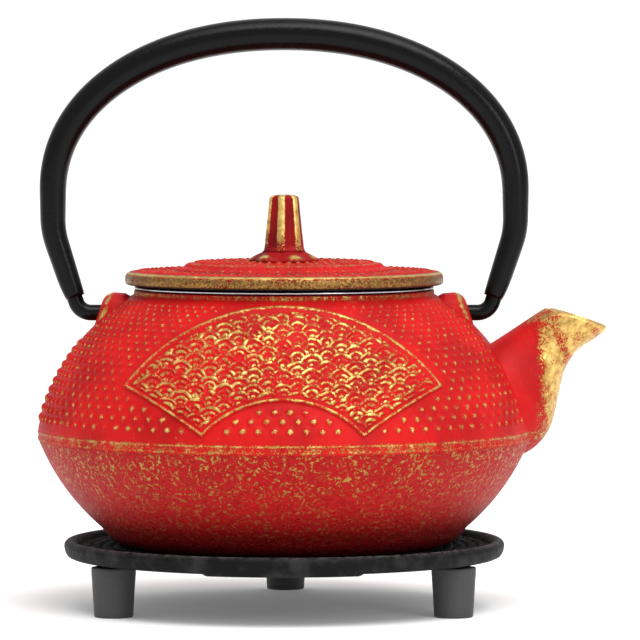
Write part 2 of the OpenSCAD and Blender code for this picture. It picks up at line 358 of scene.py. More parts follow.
def black_enamel(name):
    """Satin black paint on the bail: a fine orange-peel skin with a few scuffs."""
    n = Nodes(name)
    peel = n.noise(900, 2)
    scuff = n.step(n.noise(60, 5, 0.7), 0.55, 0.8)
    colour = n.mix(scuff, (0.0025, 0.0025, 0.0026), (0.006, 0.006, 0.006))
    return n.finish(Base_Color=colour, Roughness=n.step(peel, 0.2, 0.8, (0.16, 0.28)),
                    Specular_IOR_Level=0.13, Normal=n.bump(n.add(peel, n.noise(2400, 1)), 0.00003))


def black_iron(name):
    """Matt black cast iron with sand-cast grain, paler in random worn patches, and paler along the trivet
    rim's crest as wear and painted highlight.
    """
    n = Nodes(name)
    grain = n.noise(1300, 3, 0.6)
    worn = n.step(n.noise(180, 4, 0.6), 0.42, 0.7)
    colour = n.mix(worn, (0.004, 0.004, 0.004), (0.020, 0.020, 0.020))
    # Paler grey along the rim's crest: partly wear, partly a painted highlight where the top light catches
    # the rim.
    colour = n.mix(n.mul(n.attribute("edge"), n.step(n.noise(700, 3), 0.3, 0.7)), colour,
                   (0.10, 0.10, 0.10))
    return n.finish(Base_Color=colour, Roughness=n.step(grain, 0.25, 0.75, (0.5, 0.66)),
                    Specular_IOR_Level=0.1, Normal=n.bump(n.add(grain, n.noise(420, 2)), 0.00012))


def foot_rubber(name):
    n = Nodes(name)
    grain = n.noise(1600, 2)
    colour = n.mix(n.noise(90, 3), (0.028, 0.028, 0.029), (0.045, 0.045, 0.046))
    return n.finish(Base_Color=colour, Roughness=n.step(grain, 0.2, 0.8, (0.55, 0.7)),
                    Normal=n.bump(grain, 0.00003))


def stainless(name, brush=(1, 1, 14)):
    """Bright steel with fine drawing lines."""
    n = Nodes(name)
    lines = n.noise(700, 2, 0.6, stretch=brush)
    colour = n.mix(lines, (0.52, 0.52, 0.53), (0.72, 0.72, 0.73))
    # Painted shade: near black where the rolled edge lies in the dark gap under the lid, leaving a thin
    # bright line.
    colour = n.mix(n.attribute("painted_shade"), colour, (0.02, 0.012, 0.012))
    return n.finish(Base_Color=colour, Metallic=1.0, Roughness=n.step(lines, 0.2, 0.8, (0.2, 0.34)),
                    Normal=n.bump(lines, 0.00001))


# ---- the pot

POT_COLUMNS = 800
DOTS_ROUND = 100
DOT_ROWS = 18
ROWS_PER_DOT = 5
FOOT_TURN = np.array([BASE_R + 6.5, BASE_Z + 4.5])
BOWL_TOP = np.array([BELLY_R - 0.6, RIDGE_Z - 2.9])
RIDGE = np.array([BELLY_R, RIDGE_Z])
COLLAR_FOOT = np.array([COLLAR_R, COLLAR_Z - 1.2])
SHOULDER_ARC = 51.0
BOWL_ARC = 54.0
SHOULDER_C = arc_centre(RIDGE, COLLAR_FOOT, SHOULDER_ARC)
DOT_LOW_Z = 45.6
DOT_HIGH_Z = 75.2


def shoulder_radius(z):
    return SHOULDER_C[0] + np.sqrt(SHOULDER_ARC**2 - (z - SHOULDER_C[1]) ** 2)


def dot_zone_profile():
    """Rows of the dotted zone, spaced in proportion to the radius so that every dot keeps its shape."""
    z = np.linspace(DOT_LOW_Z, DOT_HIGH_Z, 4000)
    r = shoulder_radius(z)
    path = np.r_[0, np.cumsum(np.hypot(np.diff(r), np.diff(z)) / r[1:])]
    at = np.linspace(0, path[-1], DOT_ROWS * ROWS_PER_DOT + 1)
    z = np.interp(at, path, z)
    return np.column_stack([shoulder_radius(z), z])


def pot_profile():
    """The pot's closed section from the centre of the base, up the outside, and down the inside."""
    dots = dot_zone_profile()
    turn = arc([BASE_R, BASE_Z], FOOT_TURN, 9, 7)
    bowl = arc(FOOT_TURN, BOWL_TOP, BOWL_ARC, 34)
    ridge = np.array([[BELLY_R - 0.45, RIDGE_Z - 2.4], [BELLY_R - 0.1, RIDGE_Z - 2.0],
                      [BELLY_R - 0.02, RIDGE_Z - 1.6], [BELLY_R - 0.12, RIDGE_Z - 1.2],
                      [BELLY_R - 0.25, RIDGE_Z - 0.8], [BELLY_R - 0.05, RIDGE_Z - 0.4],
                      [BELLY_R, RIDGE_Z], [BELLY_R - 0.22, RIDGE_Z + 0.4]])
    band = resample([[shoulder_radius(z), z] for z in np.linspace(RIDGE_Z + 0.8, DOT_LOW_Z - 0.2, 5)], 5)
    neck = resample([[shoulder_radius(z), z] for z in np.linspace(DOT_HIGH_Z + 0.3, COLLAR_FOOT[1], 4)], 4)
    mouth = COLLAR_R - WALL_T - 0.3
    lip = np.array([[COLLAR_R, COLLAR_Z - 0.5], [COLLAR_R - 0.15, COLLAR_Z - 0.12],
                    [COLLAR_R - 0.5, COLLAR_Z], [mouth + 0.5, COLLAR_Z], [mouth + 0.12, COLLAR_Z - 0.12],
                    [mouth, COLLAR_Z - 0.5]])
    top = SHOULDER_C[1] + math.sqrt((SHOULDER_ARC - WALL_T) ** 2 - (mouth - SHOULDER_C[0]) ** 2)
    inside_r = SHOULDER_ARC - WALL_T
    z = np.linspace(top, RIDGE_Z, 12)
    shoulder = np.column_stack([SHOULDER_C[0] + np.sqrt(inside_r**2 - (z - SHOULDER_C[1]) ** 2), z])
    bowl_c = arc_centre(FOOT_TURN, BOWL_TOP, BOWL_ARC)
    t = np.linspace(math.atan2(*(BOWL_TOP - bowl_c)[::-1]), math.atan2(*(FOOT_TURN - bowl_c)[::-1]), 10)
    bottom = bowl_c + (BOWL_ARC - WALL_T) * np.column_stack([np.cos(t), np.sin(t)])
    floor = np.array([[BASE_R, BASE_Z + WALL_T], [BASE_R - 12, BASE_Z + WALL_T], [4, BASE_Z + WALL_T]])
    start = np.array([[4, BASE_Z], [BASE_R - 8, BASE_Z]])
    return np.vstack([start, turn, bowl[1:], ridge, band, dots, neck, lip, shoulder, bottom, floor])


# The fan cartouche on the front, in the pot's front view: x to the right, z up.
FAN_C = np.array([0.0, 28.3])
FAN_OUT = 46.8
FAN_IN = 25.2
FAN_TILT_OUT = math.radians(36.6)
FAN_TILT_IN = math.radians(42.0)


def fan_inside(x, z, margin):
    """1 inside the fan's outline grown by margin, on the front half of the pot."""
    rho = np.hypot(x - FAN_C[0], z - FAN_C[1])
    phi = np.arctan2(z - FAN_C[1], x - FAN_C[0])
    share = np.clip((rho - FAN_IN) / (FAN_OUT - FAN_IN), 0, 1)
    tilt = FAN_TILT_IN + (FAN_TILT_OUT - FAN_TILT_IN) * share
    side = rho * np.minimum(phi - tilt, math.pi - tilt - phi)
    gap = np.minimum(np.minimum(rho - FAN_IN, FAN_OUT - rho), side)
    return smooth(gap, -margin - 0.4, -margin)


SPOUT_AXIS_Z = 52.0


def keep_clear(points):
    """How far dots may show: 0 in the fan, at the spout's root and under the ears."""
    x, y, z = points.T
    free = 1 - fan_inside(x, z, 1.1) * (y < 0)
    spout = np.hypot(y / 15.5, (z - SPOUT_AXIS_Z) / 19.0)
    free *= np.where(x > 25, smooth(spout, 0.92, 1.06), 1)
    ear = np.hypot(y / 9.6, (z - 73.0) / 8.5)
    return free * np.where(np.abs(x) > 30, smooth(ear, 0.9, 1.05), 1)


def dot_pattern(points):
    """Height of the staggered dots, 0 to 1, at points on the shoulder."""
    r = np.hypot(points[:, 0], points[:, 1])
    profile = dot_zone_profile()
    row = np.interp(points[:, 2], profile[:, 1], np.arange(len(profile)) / ROWS_PER_DOT, left=-1, right=-1)
    angle = np.arctan2(points[:, 0], -points[:, 1])
    pitch = 2 * math.pi * r / DOTS_ROUND
    row_step = np.interp(points[:, 2], profile[1:, 1],
                         np.linalg.norm(np.diff(profile, axis=0), axis=1) * ROWS_PER_DOT)
    k = np.floor(row)
    across = angle / (2 * math.pi) * DOTS_ROUND + 0.5 * (k % 2)
    du = (across - np.floor(across) - 0.5) * pitch
    dv = (row - k - 0.5) * row_step
    size = 0.235 * pitch
    height = np.sqrt(np.clip(1 - (du**2 + dv**2) / size**2, 0, 1))
    return height * (row >= 0) * (row < DOT_ROWS)


def outward(points):
    """Unit normal of the shoulder at points on it."""
    r = np.hypot(points[:, 0], points[:, 1])
    n = np.column_stack([r - SHOULDER_C[0], points[:, 2] - SHOULDER_C[1]])
    n /= np.linalg.norm(n, axis=1)[:, None]
    return np.column_stack([n[:, 0] * points[:, 0] / r, n[:, 0] * points[:, 1] / r, n[:, 1]])


# Spout sections: upper point, lower point (x, z), half width in y, as the CAD part has them.
SPOUT_ROWS = (
    ((45, 61.5), (53.5, 35.5), 15.0),
    ((49.7, 64.1), (60.5, 38.8), 13.0),
    ((53.5, 66.5), (64.7, 44), 10.6),
    ((57, 68.8), (66.5, 50.8), 9.1),
    ((60, 70.8), (68.2, 57.9), 8.2),
    ((62.2, 72.2), (71.2, 62.6), 7.8),
    ((63.4, 72.9), (75.4, 65.6), 7.8),
    ((64.6, 72.9), (79, 68.2), 7.9),
)
SPOUT_SIDES = 96


def spline(values, at):
    """Catmull-Rom through rows of values, read at positions 0 to len - 1."""
    values = np.asarray(values, float)
    padded = np.vstack([2 * values[0] - values[1], values, 2 * values[-1] - values[-2]])
    k = np.clip(np.floor(at).astype(int), 0, len(values) - 2)
    t = (at - k)[:, None]
    a, b, c, d = (padded[k + i] for i in range(4))
    return 0.5 * (2 * b + (c - a) * t + (2 * a - 5 * b + 4 * c - d) * t**2 + (3 * b - a - 3 * c + d) * t**3)


def spout_rings(inset_at, first=0.0, last=7.0, count=60):
    at = np.linspace(first, last, count)
    rows = spline([(*t, *b, w) for t, b, w in SPOUT_ROWS], at)
    angle = -full_turn(SPOUT_SIDES)
    rings = []
    for place, (tx, tz, bx, bz, w) in zip(at, rows):
        inset = inset_at(place)
        centre, half = np.array([tx + bx, tz + bz]) / 2, np.array([tx - bx, tz - bz]) / 2
        k = 1 - inset / np.hypot(*half)
        p = centre + np.outer(np.cos(angle), half * k)
        rings.append(np.column_stack([p[:, 0], (w - inset) * np.sin(angle), p[:, 1]]))
    return rings


def spout_skin():
    """The outer skin of the spout, with a softly rounded lip."""
    rings = spout_rings(lambda at: 0.0)
    lip = [spout_rings(lambda at: 0.25, 7.0, 7.0, 1)[0] + [0.03, 0, 0.2],
           spout_rings(lambda at: 0.9, 7.0, 7.0, 1)[0] + [0.06, 0, 0.3]]
    rings = np.array(rings + lip)
    over = (rings[..., 0] - 77.4).clip(0)
    rings[..., 0] -= over - 1.3 * (1 - np.exp(-over / 1.3))
    return solid("spout_skin", rings)


def channel_inset(at):
    """How far the channel lies inside the spout's skin; the wall thickens towards the root."""
    return 2.0 + 3.6 * (1 - at / 7) ** 2


def spout_channel():
    rings = spout_rings(channel_inset)
    before = rings[0] - [6, 0, 1.8]
    lip = [spout_rings(lambda at: 1.75, 7.0, 7.0, 1)[0] + [0.1, 0, 0.32],
           spout_rings(lambda at: 0.7, 7.0, 7.0, 1)[0] + [1.0, 0, 3.0]]
    return solid("spout_channel", [before] + rings + lip)


def ear_solid(side):
    """A cast lug with round shoulders and a blind socket for the bail's pin."""
    t = np.radians(np.linspace(15, 90, 9))
    crown = EAR_CROWN + EAR_CROWN_R * np.column_stack([np.cos(t), np.sin(t)])
    outline = np.vstack([[[40, 60.5], [44.6, 65.5], [46.0, 67.4], [46.3, 68.4]], crown,
                         [[38.6, 76.6], [37.2, 75.8], [36.5, 71.5], [37, 64]]])
    outline = resample(np.vstack([outline, outline[:1]]), 65)[:-1]
    centre = np.array(EAR_CENTRE)
    rings = []
    for t in np.linspace(-1, 1, 33):
        shrink = (1 - abs(t) ** 3.2) ** (1 / 2.4) if abs(t) < 1 else 0.02
        ring = centre + (outline - centre) * (0.30 + 0.70 * shrink)
        rings.append(np.column_stack([ring[:, 0], np.full(len(ring), EAR_HALF_W * t), ring[:, 1]]))
    rings = np.array(rings)[:, ::-1]
    if side < 0:
        rings = rings[:, ::-1] * [-1, 1, 1]
    obj = solid("ear_solid", rings)
    angle = full_turn(48)
    circle = np.column_stack([np.zeros(48), PIN_HOLE_R * np.cos(angle),
                              HINGE_Z + PIN_HOLE_R * np.sin(angle)])
    ends = [circle + [40.5, 0, 0], circle + [49, 0, 0]]
    if side < 0:
        ends = [ring[::-1] * [-1, 1, 1] for ring in ends]
    drill = solid("drill", np.array(ends))
    return obj, drill


def pot_body():
    angle = full_turn(POT_COLUMNS)
    profile = pot_profile()
    grid = lathe(profile, angle)
    flat = grid.reshape(-1, 3)
    dotted = (flat[:, 2] > DOT_LOW_Z - 0.01) & (flat[:, 2] < DOT_HIGH_Z + 0.01)
    dotted &= np.abs(np.hypot(flat[:, 0], flat[:, 1]) - shoulder_radius(flat[:, 2].clip(40, 77))) < 0.02
    spots = flat[dotted]
    height = dot_pattern(spots) * keep_clear(spots)
    lift = BODY_DOT_H * np.hypot(spots[:, 0], spots[:, 1]) / BELLY_R
    flat[dotted] = spots + outward(spots) * (height * lift)[:, None]
    obj = solid("pot_body_cast", flat.reshape(grid.shape))
    boolean(obj, "UNION", spout_skin())
    drills = []
    for side in (1, -1):
        ear, drill = ear_solid(side)
        boolean(obj, "UNION", ear)
        drills.append(drill)
    boolean(obj, "DIFFERENCE", cavity())
    boolean(obj, "DIFFERENCE", spout_channel())
    for drill in drills:
        boolean(obj, "DIFFERENCE", drill)
    mark_pot(obj)
    return obj


def cavity():
    """The pot's inside as a solid, to clear what the spout and ears leave in it."""
    profile = pot_profile()
    start = int(np.argmax((profile[:, 0] < COLLAR_R - WALL_T - 0.2) & (profile[:, 1] > COLLAR_Z - 1)))
    inner = profile[start:][::-1]
    inner = np.vstack([inner, [[inner[-1, 0], COLLAR_Z + 2]]])
    return solid("cavity", lathe(inner - [[0.02, 0]], full_turn(200)))


def mark_pot(obj):
    """Where the gold is rubbed, where the cast skin is rough, and where the black enamel lies."""
    p = vertex_array_mm(obj)
    x, y, z = p.T
    r = np.hypot(x, y)
    surface = np.abs(r - shoulder_radius(z.clip(40, 77)))
    on_shoulder = (z > DOT_LOW_Z - 0.1) & (z < DOT_HIGH_Z + 0.1) & (surface < 1.0)
    drift = 0.5 + 0.5 * np.sin(2.1 * np.arctan2(y, x) + 0.7) * np.cos(z / 6.0)
    high = smooth(z, 52, 74)
    rub = np.where(on_shoulder, dot_pattern(p) * keep_clear(p), 0) * (0.60 + 0.08 * high + 0.08 * drift)
    front = smooth(-y, 40, 56) * smooth(-z, -57, -50)
    rub += on_shoulder * dot_pattern(p) * keep_clear(p) * 0.2 * front
    rub = np.maximum(rub, 0.50 * smooth(z, 75.5, 76.5) * (r > COLLAR_R - 0.8) * (r < COLLAR_R + 1.2))
    ridge = np.exp(-((z - RIDGE_Z) / 0.5) ** 2) + 0.85 * np.exp(-((z - RIDGE_Z + 1.6) / 0.55) ** 2)
    ridge = np.maximum(ridge.clip(0, 1) * 0.85, 0.62 * np.exp(-((z - RIDGE_Z + 0.9) / 1.9) ** 2))
    rub = np.maximum(rub, ridge * 0.74 * (r > BELLY_R - 1.2))
    spout = np.clip((x - 60) / 12, 0, 1) * (r > BELLY_R + 1.5)
    under = smooth(x - (61.9 + 0.02 * (z - 45)), 0, 1.6) * smooth(z, 40, 46) * (r > BELLY_R + 0.6)
    streak = 0.12 * wobble(x + 0.4 * z, z * 0.35 + x, 1.1, 5)
    rub = np.maximum(rub, np.maximum(smooth(spout, -0.2, 0.4) * (0.73 + streak), under * (0.64 + streak)))
    crown = 61.5 + (x - 45) * 0.58
    top_edge = (x > 55) * (x < 66) * smooth(z - crown, -1.6, -0.4) * smooth(x, 55, 59)
    rub = np.maximum(rub, top_edge * 0.55 * (r > BELLY_R - 1))
    lip = (x > 60) * smooth(z - (72.9 - 0.326 * (x - 64.6)), -0.9, -0.2)
    rub = np.maximum(rub, lip * 0.8)
    ear = (np.abs(x) > 40) & (np.abs(y) < 8) & (z > 67) & (surface > 0.4) & (np.abs(x) < 47.5)
    edge = np.abs(x) - (46.3 - 0.36 * (z - 68.4).clip(0))
    crackle = 0.74 + 0.26 * wobble(x, z + 0.5 * y, 3.0, 9)
    ear_streak = np.exp(-((edge + 1.2) / 0.85) ** 2) * crackle * smooth(z, 68.5, 70.0)
    rub = np.maximum(rub, np.where(ear, ear_streak, 0))
    inner_r = np.where(z > RIDGE_Z, shoulder_radius(z.clip(40, 77)) - 1.2, BELLY_R - 3 + 0 * z)
    bowl_c = arc_centre(FOOT_TURN, BOWL_TOP, BOWL_ARC)
    low = z <= RIDGE_Z
    inner_r[low] = bowl_c[0] + np.sqrt(np.clip((BOWL_ARC - 1.5) ** 2 - (z[low] - bowl_c[1]) ** 2, 0, None))
    enamel = (r < np.minimum(inner_r, 60)) & (z > BASE_Z + 1.5) | (z > COLLAR_Z - 0.4) & (r < COLLAR_R + 0.5)
    enamel &= ~((np.abs(x) > 36.6) & (np.abs(y) < 8) & (z > 62))
    in_channel = (x > 47) & (np.abs(y) < 6.5) & (z < 72.2 - 0.326 * (x - 64.6)) & channel_inside(p)
    enamel = np.maximum(enamel, in_channel).astype(float)
    skin = (smooth(RIDGE_Z - 1.9 - z, 0, 0.4)) * (1 - smooth(x, 57, 62))
    attribute(obj, "rub", rub * (1 - enamel))
    attribute(obj, "skin", skin)
    attribute(obj, "fleck", skin * (0.25 + 0.75 * smooth(z, 24, 38)) * smooth(z, 17, 24))
    # Painted shade: darker towards the base, where the trivet shades the bowl.
    attribute(obj, "shade", 0.9 * smooth(-z, -31, -16.5) * (1 - enamel))
    attribute(obj, "enamel", enamel)


def channel_inside(p):
    """True inside the spout's channel, by its sections' own axes."""
    out = np.zeros(len(p), bool)
    for at in np.linspace(0, 7, 80):
        tx, tz, bx, bz, w = spline([(*t, *b, w) for t, b, w in SPOUT_ROWS], np.array([at]))[0]
        inset = channel_inset(at) - 0.25
        centre, half = np.array([tx + bx, tz + bz]) / 2, np.array([tx - bx, tz - bz]) / 2
        size = np.hypot(*half)
        u = half / size
        rel = p[:, [0, 2]] - centre
        a, along = rel @ u, rel @ np.array([u[1], -u[0]])
        out |= (np.abs(along) < 0.45) & ((a / (size - inset)) ** 2 + (p[:, 1] / (w - inset)) ** 2 < 1.0)
    return out


def wobble(x, z, per_mm, seed):
    """Smooth random waves, about -1 to 1, with roughly per_mm radians to the millimetre."""
    random = np.random.default_rng(seed)
    total = np.zeros(len(x))
    for _ in range(14):
        heading, phase = random.uniform(0, 2 * math.pi, 2)
        k = per_mm * random.uniform(0.6, 1.4)
        total += np.cos(k * (x * math.cos(heading) + z * math.sin(heading)) + phase)
    return total / 5.5


SCALE_R = 3.4
SCALE_LINE = 1.0
SCALE_RINGS = (1.0, 0.64, 0.28)


def fan_relief(x, z):
    """The fan's raised pattern: rows of plain wave scales, each row lying over the one above it."""
    px = x + 0.16 * wobble(x, z, 1.5, 1)
    pz = z + 0.16 * wobble(x, z, 1.5, 2)
    h = np.zeros(len(x))
    step = SCALE_R / 2
    top_row = int(np.ceil(pz.max() / step))
    bottom_row = int(np.floor((pz.min() - SCALE_R) / step))
    for row in range(top_row, bottom_row - 1, -1):
        shift = SCALE_R * (row % 2)
        centre = np.round((px - shift) / (2 * SCALE_R)) * 2 * SCALE_R + shift
        d = np.hypot(px - centre, pz - row * step)
        lines = np.zeros(len(x))
        for ring in SCALE_RINGS:
            off = (d - SCALE_R * ring + SCALE_LINE / 2) / (SCALE_LINE / 2)
            lines = np.maximum(lines, np.sqrt(np.clip(1 - off**2, 0, 1)))
        inside = d < SCALE_R
        h[inside] = lines[inside]
    return h * (0.74 + 0.26 * wobble(x, z, 2.4, 3)).clip(0.2, 1)


PANEL_COLUMNS = 360
PANEL_ROWS = 96
PANEL_LIFT = 0.12
OUTLINE_W = 0.98


def fan_panel():
    """The fan cartouche as a shallow plate let into the shoulder, its relief in real height."""
    random = np.random.default_rng(7)
    share = np.linspace(0, 1, PANEL_ROWS)
    rho = FAN_IN + (FAN_OUT - FAN_IN) * share
    tilt = FAN_TILT_IN + (FAN_TILT_OUT - FAN_TILT_IN) * share
    across = np.linspace(0, 1, PANEL_COLUMNS)
    phi = math.pi - tilt[:, None] - (math.pi - 2 * tilt[:, None]) * across[None]
    x = (FAN_C[0] + rho[:, None] * np.cos(phi)).ravel()
    z = (FAN_C[1] + rho[:, None] * np.sin(phi)).ravel()
    r = shoulder_radius(z)
    base = np.column_stack([x, -np.sqrt(r**2 - x**2), z])
    normal = outward(base)
    side = (rho[:, None] * np.minimum(phi - tilt[:, None], math.pi - tilt[:, None] - phi)).ravel()
    rows = np.repeat(rho, PANEL_COLUMNS)
    gap = np.minimum(np.minimum(rows - FAN_IN, FAN_OUT - rows), side)
    frame_line = np.clip(1 - ((gap - OUTLINE_W / 2) / (OUTLINE_W / 2)) ** 2, 0, 1) ** 0.7
    picture = fan_relief(x, z) * smooth(gap, OUTLINE_W, OUTLINE_W + 0.8)
    grains = np.zeros(len(x))
    for cx, cz, size in zip(random.uniform(-33, 33, 260), random.uniform(47, 73, 260),
                            random.uniform(0.24, 0.5, 260)):
        near = (np.abs(x - cx) < size) & (np.abs(z - cz) < size)
        d = np.hypot(x[near] - cx, z[near] - cz)
        grains[near] = np.maximum(grains[near], np.clip(1 - (d / size) ** 2, 0, 1) * 0.74)
    grains *= smooth(gap, OUTLINE_W, OUTLINE_W + 0.8)
    shape = np.maximum(np.maximum(frame_line, picture * 0.95), grains)
    lift = PANEL_LIFT + 0.62 * shape + 0.035 * wobble(x, z, 4.5, 9) - 0.5 * (gap < 0.02)
    top = base + normal * lift[:, None]
    under = base - normal * 1.2
    count = len(top)
    faces = grid_faces(PANEL_ROWS, PANEL_COLUMNS, wrap=False)
    faces += grid_faces(PANEL_ROWS, PANEL_COLUMNS, count, wrap=False, flip=True)
    c, last = PANEL_COLUMNS, (PANEL_ROWS - 1) * PANEL_COLUMNS
    rim = [*range(c), *(i * c + c - 1 for i in range(1, PANEL_ROWS)),
           *(last + j for j in range(c - 2, -1, -1)), *(i * c for i in range(PANEL_ROWS - 2, 0, -1))]
    faces += [[b, a, a + count, b + count] for a, b in zip(rim, rim[1:] + rim[:1])]
    obj = new_object("fan_relief", np.vstack([top, under]), faces)
    worn = (0.86 + 0.2 * wobble(x, z, 0.9, 11)).clip(0.5, 1.05)
    rub = np.maximum(np.maximum(picture, grains) * worn, frame_line * 0.66)
    attribute(obj, "rub", np.r_[np.maximum(rub, 0.1), np.zeros(count)])
    for name in ("skin", "fleck", "shade", "enamel"):
        attribute(obj, name, np.zeros(2 * count))
    return obj


# ---- the lid and its knob

LID_COLUMNS = 720
LID_R = LID_HI[0]
LID_TOP = 82.0
LID_RISE = LID_HI[2] - LID_TOP
LID_SEAT = 78.3
LID_DOT_STEP = 2.35


def lid():
    """The lid with rings of dots on its outer zone, its slope and its raised centre."""
    edge = arc([LID_R, LID_TOP - 1.6], [LID_R - 1.6, LID_TOP], 1.6, 9)
    radii = np.arange(LID_R - 1.9, SEAT_HI[0] - 1.5, -0.42)
    rise = LID_RISE * smooth(-radii, -28, -21)
    outer = np.column_stack([radii, LID_TOP + rise])
    under = LID_HI[2] - 3.0
    skirt = 29.5
    below = np.array([[2.2, under], [20, under], [27.3, 79.3], [27.3, 73.9], [27.7, 73.8], [29.1, 73.8],
                      [skirt, 73.9], [skirt, LID_SEAT], [35.6, LID_SEAT], [36.1, LID_SEAT + 0.5],
                      [38.0, LID_SEAT + 0.5], [38.4, LID_SEAT + 0.65], [LID_R, LID_SEAT + 1.1]])
    profile = np.vstack([below, edge, outer, [[2.2, LID_HI[2]]]])
    angle = full_turn(LID_COLUMNS)
    grid = lathe(profile, angle)
    r = np.repeat(profile[:, 0], LID_COLUMNS)
    theta = np.tile(angle, len(profile))
    k = np.floor((LID_R - 2.2 - r) / LID_DOT_STEP)
    ring_r = LID_R - 2.2 - (k + 0.5) * LID_DOT_STEP
    count = np.maximum(np.round(2 * math.pi * ring_r / LID_DOT_STEP), 1)
    across = theta / (2 * math.pi) * count
    du = (across - np.floor(across) - 0.5) * 2 * math.pi * r / count
    dv = r - ring_r
    on_top = (np.repeat(profile[:, 1], LID_COLUMNS) > LID_TOP - 0.01) & (r > SEAT_HI[0]) & (k >= 0)
    du += 0.18 * np.sin(31 * np.tile(angle, len(profile)) + 2.3 * k)
    dots = np.sqrt(np.clip(1 - (du**2 + dv**2) / LID_DOT_R**2, 0, 1)) * on_top
    flat = grid.reshape(-1, 3)
    flat[:, 2] += dots * LID_DOT_H
    vertices, faces = flat, grid_faces(len(profile), LID_COLUMNS)
    faces += [[a + (len(profile) - 1) * LID_COLUMNS, b + (len(profile) - 1) * LID_COLUMNS, b, a]
              for a, b in zip(range(LID_COLUMNS), [*range(1, LID_COLUMNS), 0])]
    obj = new_object("lid_cast", vertices, faces)
    circle = full_turn(32)
    hole = np.column_stack([1.2 * np.cos(circle) - 16, 1.2 * np.sin(circle) + 16, np.zeros(32)])
    boolean(obj, "DIFFERENCE", solid("vent", np.array([hole + [0, 0, 75], hole + [0, 0, 90]])))
    p = vertex_array_mm(obj)
    r = np.hypot(p[:, 0], p[:, 1])
    rim = smooth(r, LID_R - 2.3, LID_R - 1.2) * (p[:, 2] > LID_SEAT + 0.4)
    slope = np.exp(-((r - 22.5) / 1.2) ** 2) * (p[:, 2] > LID_TOP - 0.5) * 0.5
    top = p[:, 2] > LID_TOP - 0.5
    base = LID_TOP + LID_RISE * smooth(-r, -28, -21)
    bumps = np.clip((p[:, 2] - base) / LID_DOT_H, 0, 1) * top * (r > SEAT_HI[0])
    crest = np.exp(-((r - (LID_R - 0.75)) / 0.5) ** 2) * smooth(p[:, 2], LID_TOP - 1.1, LID_TOP - 0.5)
    rim *= 1 - 0.9 * crest
    attribute(obj, "rub", np.maximum(np.maximum(rim * 0.72, bumps * 0.58), np.maximum(slope, crest * 0.98)))
    attribute(obj, "rim", rim)
    black = (p[:, 2] < LID_SEAT + 0.75) | (r < 27) & (p[:, 2] < LID_HI[2] - 2.0)
    attribute(obj, "enamel", black.astype(float))
    return obj


def knob_grid(profile, lobes, depth, phase, sides=192):
    """A lobed solid of revolution: radius grows by depth on each lobe."""
    angle = full_turn(sides)
    lobe = (0.5 + 0.5 * np.cos(lobes * (angle - phase)))
    rows = []
    for r, z, share in profile:
        radius = r - depth * share * (1 - lobe**0.8)
        rows.append(np.column_stack([turn_z(1, angle) * radius[:, None], np.full(sides, z)]))
    return np.array(rows), np.tile(lobe, len(rows))


def knob():
    """The tapered knob with six rounded ribs and a domed top."""
    foot, top = KNOB_HI[0], 3.75
    z0, z1 = KNOB_LO[2], KNOB_HI[2]
    body = [(foot + (top - foot) * t, z0 + (z1 - 1.7 - z0) * t, smooth(t, 0.0, 0.1) * (1 - 0.35 * t))
            for t in np.linspace(0.01, 1, 44)]
    dome = [(top * math.cos(a) ** 0.55, z1 - 1.7 + 1.0 * math.sin(a), 0.65 * math.cos(a))
            for a in np.linspace(0.12, math.pi / 2 - 0.01, 14)]
    profile = [(foot - 0.2, z0, 0.0), *body, *dome]
    grid, lobe = knob_grid([(0.4, z0, 0.0), *profile], 6, 1.05, math.radians(50))
    obj = solid("knob_cast", grid)
    p = vertex_array_mm(obj)
    up = smooth(p[:, 2], z0 - 1, z1 - 5)
    rub = smooth(np.r_[lobe, 0, 0], 0.3, 0.75) * (0.5 + 0.4 * up) + 0.5 * smooth(p[:, 2], z1 - 1.9, z1 - 0.6)
    attribute(obj, "rub", np.minimum(rub, 0.9))
    return obj


def knob_seat():
    """The flower-shaped seat: six petals with a raised nub on each."""
    z0, h, r = SEAT_LO[2], SEAT_HI[2] - SEAT_LO[2], SEAT_HI[0]
    outline = [(r - 0.5, 0.0, 0.6), (r, 0.35, 1.0), (r - 0.15, 0.8, 1.0), (r - 0.8, 1.3, 1.0),
               (r - 1.7, 1.75, 0.9), (r - 2.6, 2.15, 0.6), (r - 3.3, 2.5, 0.3), (r - 3.6, h, 0.0),
               (2.3, h, 0.0)]
    dense = spline(outline, np.linspace(0, len(outline) - 1, 50))
    dense[:, 1] = dense[:, 1].clip(0, h) + z0
    grid, lobe = knob_grid([(0.4, z0, 0.0), *dense], 6, 1.3, math.radians(20))
    obj = solid("knob_seat_cast", grid)
    p = vertex_array_mm(obj)
    radius = np.hypot(p[:, 0], p[:, 1])
    rub = np.r_[lobe, 0, 0] * np.exp(-((radius - (r - 1.2)) / 1.3) ** 2) * 0.85
    attribute(obj, "rub", rub)
    return obj


# ---- the bail

BAIL_HALF_W = 56.2
BAIL_TOP = 139.5
ARCH_Z = 101.0
ARCH_POWER = 2.13
LEG_LEAN = math.radians(18)
BEND_R = 20.0
ELBOW = (47.0, 3.8)
TUBE_END = 2.65
TUBE_TOP = 4.1
TUBE_WALL = 0.6


